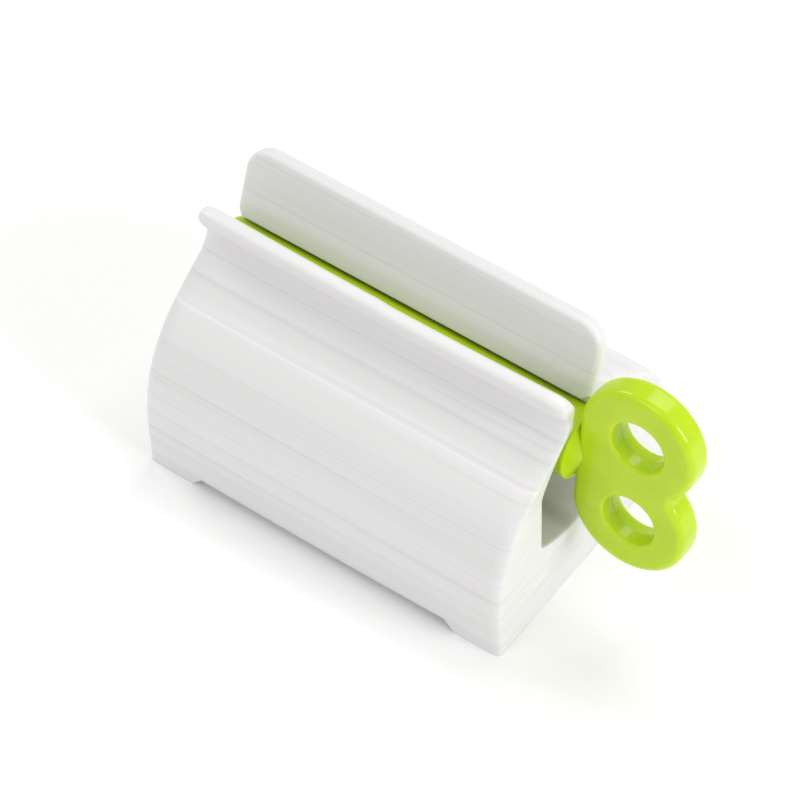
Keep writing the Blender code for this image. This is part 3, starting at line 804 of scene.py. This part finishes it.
# %% Sizes and place of the wing
WING_GAP = 0.0006
WING_THICKNESS = 0.0066
WING_EDGE_RADIUS = 0.0017
LOBE_RADIUS = 0.0134
LOBE_OFFSET = 0.0107
NOTCH_RADIUS = 0.0025
FINGER_HOLE_RADIUS = 0.0061
FINGER_HOLE_SHIFT = 0.0003
HOLE_RIM_RADIUS = 0.0007


def reach_at(height):
    """Half the stand's length at a height of its front."""
    return half_length(np.array((FRONT, height)))


WING_LEFT = reach_at(SHAFT_HEIGHT + LOBE_OFFSET) + WING_GAP
WING_MIDDLE = WING_LEFT + LOBE_RADIUS
WING_RIGHT = WING_LEFT + 2 * LOBE_RADIUS
STAND_X = -(WING_RIGHT - reach_at(LIP_TOP - LIP_CORNER_DROP)) / 2
print("middle of the stand at x, in mm:", round(STAND_X * 1000, 2))

# %% The wing


def wing_edge():
    """Notch arc, upper lobe and straight side, then the same mirrored, anticlockwise."""
    reach = LOBE_RADIUS + NOTCH_RADIUS
    meeting = math.degrees(math.asin(LOBE_OFFSET / reach))
    notch = np.array((WING_MIDDLE + reach * math.cos(math.radians(meeting)), 0.0))
    lobe = np.array((WING_MIDDLE, LOBE_OFFSET))
    upper = np.concatenate((
        arc(notch, NOTCH_RADIUS, 180, 180 - meeting, steps=12),
        arc(lobe, LOBE_RADIUS, -meeting, 180, steps=140),
        np.linspace((WING_LEFT, LOBE_OFFSET), (WING_LEFT, 0.0), 12)[:-1]))
    lower = upper[1:][::-1] * (1, -1)
    return np.concatenate((upper, [(WING_LEFT, 0.0)], lower))


holes = [(np.array((WING_MIDDLE + FINGER_HOLE_SHIFT, side * LOBE_OFFSET)), FINGER_HOLE_RADIUS)
         for side in (1, -1)]
points, faces = slab(wing_edge(), WING_THICKNESS, WING_EDGE_RADIUS,
                     holes=holes, hole_rim=HOLE_RIM_RADIUS)
wing = closed_object("wing_tool", points[:, [0, 2, 1]] * (1, -1, 1), *faces)

# %% [markdown]
# ## The slotted shaft
#
# A round shaft is a profile carried once round an axis, as on a lathe. Blender's Screw modifier
# could do it, but the grid of the other pieces does it too. Near the wing the shaft narrows in a
# hollow curve, and the slot that takes the tube's tail is cut in from the tip.

# %% The shaft, joined to the wing
SHAFT_COLUMNS = 128
SHAFT_TIP_INSET = 0.0004
SHAFT_TIP_CHAMFER = 0.0008
SHOULDER_RUN = 0.0024
SHOULDER_REACH = 0.0003
SHOULDER_END_RADIUS = 0.0032
SHOULDER_POWER = 1.6
shaft_tip = -(BODY_LENGTH / 2 - SHAFT_TIP_INSET)
shaft_end = WING_LEFT - SHOULDER_REACH


def turned(name, profile):
    """Each profile point (radius, distance) is carried once round the X axis, ends closed."""
    radius, along = profile.T
    circles = rings(np.zeros(2), radius, SHAFT_COLUMNS)
    grid = np.dstack((np.broadcast_to(along[:, None], circles.shape[:2]), circles))
    end = np.arange(SHAFT_COLUMNS)[None]
    return closed_object(name, grid.reshape(-1, 3), grid_faces(len(along), SHAFT_COLUMNS),
                         end, end + (len(along) - 1) * SHAFT_COLUMNS)


share = np.linspace(1, 0, 17)
narrowed = (SHAFT_RADIUS - SHOULDER_END_RADIUS) * (1 - share)**SHOULDER_POWER
hollow = np.stack((SHOULDER_END_RADIUS + narrowed, shaft_end + SHOULDER_RUN * share), axis=1)
tip = ((SHAFT_RADIUS, shaft_tip + SHAFT_TIP_CHAMFER), (SHAFT_RADIUS - SHAFT_TIP_CHAMFER, shaft_tip))
key = turned("moulded_key", np.concatenate((hollow, tip)))
boolean(key, wing, "UNION")

# %% The slot
SLOT_WIDTH = 0.0024
SLOT_LENGTH = 0.0785
slot_start, slot_end = shaft_tip - OVERRUN, shaft_tip + SLOT_LENGTH
slot_edge = np.array(((slot_start, -SLOT_WIDTH / 2), (slot_end, -SLOT_WIDTH / 2),
                      (slot_end, SLOT_WIDTH / 2), (slot_start, SLOT_WIDTH / 2)))
slot = prism("slot_tool", slot_edge, 2 * (SHAFT_RADIUS + OVERRUN),
             lambda edge, y: np.column_stack((edge[:, 0], y, edge[:, 1])))
boolean(key, slot, "DIFFERENCE")

# %% [markdown]
# ## Into place
#
# The meshes were made round the middle of the stand and round the axis of the shaft. Their
# places now go into the meshes, so that the objects themselves stay at the origin, and each
# piece stands for its solid and rides on the body that moves it.

# %% Place, shade and hand over the two pieces
KEY_TILT_DEGREES = 4.8
SHARP_DEGREES = 32
stand.data.transform(Matrix.Translation((STAND_X, 0.0, 0.0)))
key.data.transform(Matrix.Translation((STAND_X, SHAFT_Y, SHAFT_HEIGHT))
                   @ Matrix.Rotation(math.radians(-KEY_TILT_DEGREES), 4, "X"))
for piece, node, body, colour in ((stand, "stand_body", "stand", "white_plastic"),
                                  (key, "winding_key", "key", "green_plastic")):
    piece.data.shade_smooth()
    piece.data.set_sharp_from_angle(angle=math.radians(SHARP_DEGREES))
    weighted = piece.modifiers.new("Flat faces stay flat", "WEIGHTED_NORMAL")
    weighted.keep_sharp = True
    keep_result(piece)
    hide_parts(node)
    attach(piece, body)
    print(piece.name, "box:", np.array(piece.bound_box)[[0, 6]].round(4).tolist(),
          "solid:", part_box(node))

# %% [markdown]
# ## Materials from small parts
#
# Both plastics are made of the same few steps: noise on Object coordinates, a ramp between two
# tones, a bump, and a product of tones. Each step is a function that adds its nodes to a
# material and gives back an output, so a finish reads like a recipe.

# %% Inputs of nodes


def set_input(socket, value):
    """Link an input to an output, or set it to a plain value."""
    if isinstance(value, bpy.types.NodeSocket):
        socket.id_data.links.new(value, socket)
    else:
        socket.default_value = value


def set_inputs(made, **inputs):
    """Link or set a node's inputs by name, where an underscore stands for a space."""
    for name, value in inputs.items():
        set_input(made.inputs[name.replace("_", " ")], value)
    return made


def new_node(material, kind, **inputs):
    """A new node in a material, with its inputs linked or set by name."""
    return set_inputs(material.node_tree.nodes.new(kind), **inputs)


# %% Noise, ramps and bumps
NOISE_ROUGHNESS = 0.55


def stretched_noise(material, waves, detail):
    """Noise on Object coordinates, with its own number of waves per metre on each axis."""
    place = new_node(material, "ShaderNodeTexCoord").outputs["Object"]
    mapping = new_node(material, "ShaderNodeMapping", Vector=place, Scale=waves)
    noise = new_node(material, "ShaderNodeTexNoise", Vector=mapping.outputs["Vector"],
                     Scale=1.0, Detail=detail, Roughness=NOISE_ROUGHNESS)
    return noise.outputs["Fac"]


def between(material, value, dark, light, low=0.35, high=0.65):
    """A colour between two, as a value goes from low to high."""
    ramp = new_node(material, "ShaderNodeValToRGB", Fac=value)
    for stop, place, colour in zip(ramp.color_ramp.elements, (low, high), (dark, light)):
        stop.position = place
        stop.color = (*colour, 1.0)
    return ramp.outputs["Color"]


def bump(material, value, distance, **under):
    """Tilt the surface as if the value raised it by up to a distance in metres."""
    made = new_node(material, "ShaderNodeBump", Strength=1.0, Distance=distance, Height=value,
                    **under)
    return made.outputs["Normal"]


def grey(tone):
    """The same tone for red, green and blue."""
    return (tone, tone, tone)


# %% Products and stripes


def times(material, product, *tones):
    """The product of several colours, taken two at a time."""
    for tone in tones:
        made = new_node(material, "ShaderNodeMix")
        made.data_type = "RGBA"
        made.blend_type = "MULTIPLY"
        made.inputs["Factor"].default_value = 1.0
        first, second = [socket for socket in made.inputs if socket.type == "RGBA"]
        set_input(first, product)
        set_input(second, tone)
        product = next(socket for socket in made.outputs if socket.type == "RGBA")
    return product


def maths(material, operation, *values):
    """What a Math node makes of its values."""
    made = new_node(material, "ShaderNodeMath")
    made.operation = operation
    for socket, value in zip(made.inputs, values):
        set_input(socket, value)
    return made.outputs["Value"]


def stripe(material, height, half_width, rear):
    """One within half a width of a height and in front of a rear limit, and nought elsewhere."""
    place = new_node(material, "ShaderNodeTexCoord").outputs["Object"]
    split = new_node(material, "ShaderNodeSeparateXYZ", Vector=place)
    level = maths(material, "COMPARE", split.outputs["Z"], height, half_width)
    ahead = maths(material, "LESS_THAN", split.outputs["Y"], rear)
    return maths(material, "MULTIPLY", level, ahead)


def plastic(name, **settings):
    """A new material, and its Principled shader with its sockets set by name."""
    material = bpy.data.materials.new(name)
    material.use_nodes = True
    return material, set_inputs(material.node_tree.nodes["Principled BSDF"], **settings)


# %% [markdown]
# ## White plastic
#
# The stand is satin white plastic. Up close the front carries faint lines along its length,
# where the mould was polished in one direction. Noise that is stretched along X gives such
# lines: it changes fast across them and hardly at all along them. The lines tint the colour
# by a hair and tilt the surface a little, and a much finer grain breaks up the gloss. Broader
# bands, warm and cool by turns, come from slower noise. Two lines of light and shade are painted
# on top of the shape: a painted highlight along the ridge and painted shade in the crease.

# %% Bands, lines and grain of the white
BAND_WAVES = (3.0, 60.0, 300.0)
LINE_WAVES = (4.0, 50.0, 900.0)
GRAIN_WAVES = (2600.0, 2600.0, 2600.0)
COOL_WHITE = (0.778, 0.775, 0.768)
WARM_WHITE = (0.816, 0.800, 0.804)
LINE_SHADE = (0.915, 0.915, 0.918)
white, shader = plastic("white_satin_plastic", IOR=1.46, Subsurface_Weight=0.12,
                        Subsurface_Radius=(0.0030, 0.0028, 0.0025), Subsurface_Scale=1.0)
bands = stretched_noise(white, BAND_WAVES, detail=2.0)
lines = stretched_noise(white, LINE_WAVES, detail=3.0)
grain = stretched_noise(white, GRAIN_WAVES, detail=2.0)
tint = between(white, bands, COOL_WHITE, WARM_WHITE, low=0.40, high=0.60)
streaks = between(white, lines, LINE_SHADE, grey(1.0), low=0.30, high=0.46)

# %% The painted highlight on the ridge and the painted shade in the crease
PAINTED_HIGHLIGHT_HEIGHT = RIDGE_TOP + 0.0001
PAINTED_HIGHLIGHT_HALF_WIDTH = 0.00017
PAINTED_HIGHLIGHT_REAR = SHAFT_Y - 0.0120
BESIDE_PAINTED_HIGHLIGHT = 0.945
PAINTED_SHADE_HEIGHT = CREASE_HEIGHT + 0.0003
PAINTED_SHADE_HALF_WIDTH = 0.00018
PAINTED_SHADE_REAR = crease[0] + 0.0010
PAINTED_SHADE_TONE = 0.920
ridge_highlight_band = stripe(white, PAINTED_HIGHLIGHT_HEIGHT, PAINTED_HIGHLIGHT_HALF_WIDTH, PAINTED_HIGHLIGHT_REAR)
crease_shade_band = stripe(white, PAINTED_SHADE_HEIGHT, PAINTED_SHADE_HALF_WIDTH, PAINTED_SHADE_REAR)
# Painted highlight: all the white is dimmed a little except on a narrow band along the ridge, so
# the ridge looks lit.
painted_ridge_highlight = between(white, ridge_highlight_band, grey(BESIDE_PAINTED_HIGHLIGHT), grey(1.0), low=0.0, high=1.0)
# Painted shade: a narrow band along the crease under the lip is made darker, as if in shadow.
painted_crease_shade = between(white, crease_shade_band, grey(1.0), grey(PAINTED_SHADE_TONE), low=0.0, high=1.0)

# %% Put the white together
LINE_RELIEF = 0.000012
GRAIN_RELIEF = 0.000003
ROUGH_LINE = 0.40
SMOOTH_LINE = 0.32
set_inputs(shader, Base_Color=times(white, tint, streaks, painted_ridge_highlight, painted_crease_shade),
           Roughness=between(white, lines, grey(ROUGH_LINE), grey(SMOOTH_LINE)),
           Normal=bump(white, lines, LINE_RELIEF, Normal=bump(white, grain, GRAIN_RELIEF)))
stand.data.materials.append(white)
print("white:", len(white.node_tree.nodes), "nodes")

# %% [markdown]
# ## Green plastic
#
# The key is a glossy lime green, and light goes some way into it: its thin rims glow. A
# little subsurface light gives that. Faint swirls of the plastic's flow run over the wing.

# %% Lime green plastic
FLOW_WAVES = (120.0, 260.0, 160.0)
WEAR_WAVES = (1500.0, 1500.0, 1500.0)
DEEP_LIME = (0.470, 0.655, 0.008)
PALE_LIME = (0.525, 0.705, 0.014)
FLOW_RELIEF = 0.00004
WEAR_RELIEF = 0.000004
SMOOTH_SPOT = 0.14
WORN_SPOT = 0.20
green, shader = plastic("lime_green_plastic", IOR=1.43, Subsurface_Weight=0.35,
                        Subsurface_Radius=(0.0030, 0.0040, 0.0004), Subsurface_Scale=1.0)
flow = stretched_noise(green, FLOW_WAVES, detail=3.0)
wear = stretched_noise(green, WEAR_WAVES, detail=2.0)
set_inputs(shader, Base_Color=between(green, flow, DEEP_LIME, PALE_LIME),
           Roughness=between(green, wear, grey(SMOOTH_SPOT), grey(WORN_SPOT)),
           Normal=bump(green, flow, FLOW_RELIEF, Normal=bump(green, wear, WEAR_RELIEF)))
key.data.materials.append(green)
print("green:", len(green.node_tree.nodes), "nodes")

# %% [markdown]
# ## The table and the light
#
# Small white goods are often photographed on a white sweep under broad soft lamps, so the
# table is nearly white and every shadow is soft. One broad lamp hangs high at the back, which
# keeps the front in half shade. A second one lights the end with the key, and two weaker ones
# fill in from the front and from the left.

# %% Table
TABLE_HALF = 3.0
FIBRE_WAVES = (400.0, 400.0, 400.0)
DARK_PAPER = (0.945, 0.945, 0.940)
PALE_PAPER = (0.955, 0.955, 0.950)
corners = np.array(((-1, -1, 0), (1, -1, 0), (1, 1, 0), (-1, 1, 0))) * TABLE_HALF
table = mesh_object("table", corners, np.array(((0, 1, 2, 3),)))
paper, shader = plastic("table_paper", Roughness=0.9, Specular_IOR_Level=0.1)
fibre = stretched_noise(paper, FIBRE_WAVES, detail=2.0)
set_inputs(shader, Base_Color=between(paper, fibre, DARK_PAPER, PALE_PAPER))
table.data.materials.append(paper)
print("table:", 2 * TABLE_HALF, "metres wide")

# %% Lamps
LAMP_TARGET = Vector((0.0, 0.0, 0.03))


def lamp(name, place, size, power):
    """A square area lamp at a place, turned to shine on the target."""
    light = bpy.data.lights.new(name, "AREA")
    light.size = size
    light.energy = power
    made = bpy.data.objects.new(name, light)
    made.location = place
    made.rotation_euler = (LAMP_TARGET - Vector(place)).to_track_quat("-Z", "Y").to_euler()
    bpy.context.scene.collection.objects.link(made)
    print(name, power, "watts")


lamp("back_lamp", place=(0.05, 0.60, 1.05), size=0.7, power=4.2)
lamp("end_lamp", place=(1.03, 0.0, 0.58), size=0.5, power=6.2)
lamp("front_lamp", place=(-0.20, -0.90, 0.90), size=0.8, power=3.4)
lamp("left_lamp", place=(-0.90, 0.10, 0.80), size=0.5, power=3.0)

# %% Sky
SKY_STRENGTH = 0.52
sky = bpy.data.worlds.new("studio")
sky.use_nodes = True
set_inputs(sky.node_tree.nodes["Background"], Color=(1.0, 1.0, 1.0, 1.0), Strength=SKY_STRENGTH)
bpy.context.scene.world = sky
bpy.context.scene.view_settings.view_transform = "Standard"
print("sky strength:", SKY_STRENGTH)

# %% [markdown]
# ## The camera
#
# The photograph looks down on the front and on the end with the key, through a long lens:
# lines that are parallel on the object stay nearly parallel in the picture. The camera is
# placed by its two angles, its distance and the point that it looks at.

# %% Directions of the camera
AZIMUTH = math.radians(35.6)
ELEVATION = math.radians(50.72)
ROLL = math.radians(-0.11)
away = Vector((math.sin(AZIMUTH) * math.cos(ELEVATION),
               -math.cos(AZIMUTH) * math.cos(ELEVATION), math.sin(ELEVATION)))
level = (-away).cross(Vector((0.0, 0.0, 1.0))).normalized()
upright = level.cross(-away)
right = level * math.cos(ROLL) + upright * math.sin(ROLL)
above = upright * math.cos(ROLL) - level * math.sin(ROLL)
print("the camera looks along:", [round(value, 3) for value in -away])

# %% Camera
DISTANCE = 0.9263
AIM_ASIDE = 0.00301
AIM_BACK = -0.00682
AIM_HEIGHT = 0.0300
FOCAL_LENGTH_MM = 202.5
SENSOR_WIDTH_MM = 36.0
NEAREST_SEEN = 0.01
aim = Vector((AIM_ASIDE + STAND_X, AIM_BACK, AIM_HEIGHT))
lens = bpy.data.cameras.new("camera")
lens.sensor_width = SENSOR_WIDTH_MM
lens.lens = FOCAL_LENGTH_MM
lens.clip_start = NEAREST_SEEN
camera = bpy.data.objects.new("camera", lens)
turn = Matrix((right, above, away)).transposed().to_4x4()
camera.matrix_world = Matrix.Translation(aim + away * DISTANCE) @ turn
bpy.context.scene.collection.objects.link(camera)
bpy.context.scene.camera = camera
print("camera at:", [round(value, 3) for value in camera.matrix_world.translation])
